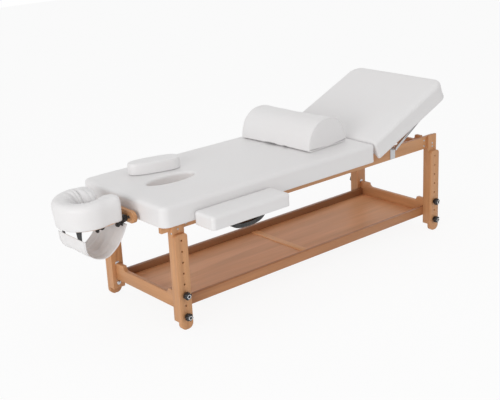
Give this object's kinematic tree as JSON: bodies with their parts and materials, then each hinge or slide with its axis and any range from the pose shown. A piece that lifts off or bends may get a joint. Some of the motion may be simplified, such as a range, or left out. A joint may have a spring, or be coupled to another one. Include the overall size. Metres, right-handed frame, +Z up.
{
  "type": "massage table",
  "caption": "Stationary wooden massage table with raised back section, head cradle, hanging arm rest, side armrest, bolster and shelf.",
  "frame": {"origin": "on the floor, in the middle of the box around the whole table", "axes": "+X from the head cradle to the back section, +Y from the armrest side to the far side, +Z up"},
  "size_m": [2.3949, 0.8548, 0.9025],
  "materials": {
    "beech": "satin",
    "plywood": "matte",
    "shelf_board": "satin",
    "white_vinyl": "satin",
    "bright_steel": "satin",
    "bare_aluminium": "satin",
    "black_plastic": "satin",
    "black_steel": "satin",
    "black_webbing": "matte"
  },
  "bodies": {
    "frame": {"post_head_near": "beech", "post_head_far": "beech", "post_foot_near": "beech", "post_foot_far": "beech", "side_beam_near": "beech", "side_beam_far": "beech", "upper_crossbar_head": "beech", "upper_crossbar_foot": "beech", "lower_crossbar_head": "beech", "lower_crossbar_foot": "beech", "shelf_rail_near": "beech", "shelf_rail_far": "beech", "shelf_panels": "shelf_board", "shelf_batten": "beech", "deck_bearers": "beech", "main_deck": "plywood", "main_rim": "beech", "main_cushion": "white_vinyl", "socket_blocks": "beech", "leg_bolts": "bright_steel", "frame_screws": "bright_steel", "prop_brackets": "bright_steel", "back_hinge_main_leaves": "bright_steel", "back_hinge_pins": "bright_steel"},
    "back_section": {"back_deck": "plywood", "back_rim": "beech", "back_cushion": "white_vinyl", "back_hinge_panel_leaves": "bright_steel", "prop_channels": "bright_steel"},
    "near_prop": {"prop_near": "bright_steel"},
    "far_prop": {"prop_far": "bright_steel"},
    "leg_head_near": {"leg_board_head_near": "beech"},
    "leg_head_far": {"leg_board_head_far": "beech"},
    "leg_foot_near": {"leg_board_foot_near": "beech"},
    "leg_foot_far": {"leg_board_foot_far": "beech"},
    "knob_head_near_upper_body": {"knob_head_near_upper": "black_plastic"},
    "knob_head_near_lower_body": {"knob_head_near_lower": "black_plastic"},
    "knob_head_far_upper_body": {"knob_head_far_upper": "black_plastic"},
    "knob_head_far_lower_body": {"knob_head_far_lower": "black_plastic"},
    "knob_foot_near_upper_body": {"knob_foot_near_upper": "black_plastic"},
    "knob_foot_near_lower_body": {"knob_foot_near_lower": "black_plastic"},
    "knob_foot_far_upper_body": {"knob_foot_far_upper": "black_plastic"},
    "knob_foot_far_lower_body": {"knob_foot_far_lower": "black_plastic"},
    "armrest": {"armrest_cushion": "white_vinyl", "armrest_board": "beech", "armrest_bow": "black_steel", "armrest_pins": "bright_steel"},
    "plug": {"face_plug": "white_vinyl"},
    "bolster_body": {"bolster": "white_vinyl"},
    "cradle_base": {"cradle_board": "beech", "cradle_dowels": "bright_steel", "cradle_pivot_rod": "bright_steel"},
    "cradle_arm_pair": {"cradle_arms": "bare_aluminium", "platform_pivot_rod": "bright_steel", "arm_sling": "white_vinyl"},
    "arm_lever": {"arm_lock_lever": "black_plastic"},
    "platform_lever": {"platform_lock_lever": "black_plastic"},
    "platform": {"cradle_platform": "plywood", "sling_straps": "black_webbing"},
    "face_pad": {"face_cushion": "white_vinyl"}
  },
  "joints": [
    {"name": "back_tilt", "type": "hinge", "parent": "frame", "child": "back_section", "pos_m": [0.57074, 0.0726, 0.638], "axis": [0, -1, 0], "range_deg": [-23.3, 19]},
    {"name": "prop_near_swing", "type": "hinge", "parent": "frame", "child": "near_prop", "pos_m": [0.77974, -0.2389, 0.573], "axis": [0, -1, 0], "range_deg": [-36, 29.5]},
    {"name": "prop_far_swing", "type": "hinge", "parent": "frame", "child": "far_prop", "pos_m": [0.77974, 0.3841, 0.573], "axis": [0, -1, 0], "range_deg": [-36, 29.5]},
    {"name": "leg_head_near_height", "type": "slide", "parent": "frame", "child": "leg_head_near", "axis": [0, 0, -1], "range_m": [0, 0.28]},
    {"name": "leg_head_far_height", "type": "slide", "parent": "frame", "child": "leg_head_far", "axis": [0, 0, -1], "range_m": [0, 0.28]},
    {"name": "leg_foot_near_height", "type": "slide", "parent": "frame", "child": "leg_foot_near", "axis": [0, 0, -1], "range_m": [0, 0.28]},
    {"name": "leg_foot_far_height", "type": "slide", "parent": "frame", "child": "leg_foot_far", "axis": [0, 0, -1], "range_m": [0, 0.28]},
    {"name": "knob_head_near_upper_turn", "type": "hinge", "parent": "frame", "child": "knob_head_near_upper_body", "pos_m": [-0.74326, -0.2674, 0.18], "axis": [0, -1, 0], "continuous": true},
    {"name": "knob_head_near_lower_turn", "type": "hinge", "parent": "frame", "child": "knob_head_near_lower_body", "pos_m": [-0.74326, -0.2674, 0.068], "axis": [0, -1, 0], "continuous": true},
    {"name": "knob_head_far_upper_turn", "type": "hinge", "parent": "frame", "child": "knob_head_far_upper_body", "pos_m": [-0.74326, 0.4126, 0.18], "axis": [0, 1, 0], "continuous": true},
    {"name": "knob_head_far_lower_turn", "type": "hinge", "parent": "frame", "child": "knob_head_far_lower_body", "pos_m": [-0.74326, 0.4126, 0.068], "axis": [0, 1, 0], "continuous": true},
    {"name": "knob_foot_near_upper_turn", "type": "hinge", "parent": "frame", "child": "knob_foot_near_upper_body", "pos_m": [1.11174, -0.2674, 0.18], "axis": [0, -1, 0], "continuous": true},
    {"name": "knob_foot_near_lower_turn", "type": "hinge", "parent": "frame", "child": "knob_foot_near_lower_body", "pos_m": [1.11174, -0.2674, 0.068], "axis": [0, -1, 0], "continuous": true},
    {"name": "knob_foot_far_upper_turn", "type": "hinge", "parent": "frame", "child": "knob_foot_far_upper_body", "pos_m": [1.11174, 0.4126, 0.18], "axis": [0, 1, 0], "continuous": true},
    {"name": "knob_foot_far_lower_turn", "type": "hinge", "parent": "frame", "child": "knob_foot_far_lower_body", "pos_m": [1.11174, 0.4126, 0.068], "axis": [0, 1, 0], "continuous": true},
    {"name": "armrest_pull", "type": "slide", "parent": "frame", "child": "armrest", "axis": [0, -1, 0], "range_m": [0, 0.12]},
    {"name": "plug_lift", "type": "slide", "parent": "frame", "child": "plug", "axis": [0, 0, 1], "range_m": [0, 0.2]},
    {"name": "bolster_lift", "type": "slide", "parent": "frame", "child": "bolster_body", "axis": [0, 0, 1], "range_m": [0, 0.25]},
    {"name": "cradle_pull", "type": "slide", "parent": "frame", "child": "cradle_base", "axis": [-1, 0, 0], "range_m": [0, 0.16]},
    {"name": "cradle_arm_tilt", "type": "hinge", "parent": "cradle_base", "child": "cradle_arm_pair", "pos_m": [-0.91326, 0.0726, 0.566], "axis": [0, 1, 0], "range_deg": [-20, 20]},
    {"name": "arm_lever_turn", "type": "hinge", "parent": "cradle_base", "child": "arm_lever", "pos_m": [-0.91326, -0.0334, 0.566], "axis": [0, -1, 0], "range_deg": [0, 35]},
    {"name": "cradle_platform_tilt", "type": "hinge", "parent": "cradle_arm_pair", "child": "platform", "pos_m": [-1.01526, 0.0726, 0.54], "axis": [0, 1, 0], "range_deg": [-25, 3], "deforming": ["arm_sling", "sling_straps"]},
    {"name": "platform_lever_turn", "type": "hinge", "parent": "cradle_arm_pair", "child": "platform_lever", "pos_m": [-1.01526, 0.0006, 0.54], "axis": [0, -1, 0], "range_deg": [0, 35]},
    {"name": "face_cushion_lift", "type": "slide", "parent": "platform", "child": "face_pad", "axis": [-0.061, 0, 0.9981], "range_m": [0, 0.15]}
  ],
  "couplings": [
    {"joint": "prop_near_swing", "follows": "back_tilt", "ratio": 1.53},
    {"joint": "prop_far_swing", "follows": "back_tilt", "ratio": 1.53}
  ]
}
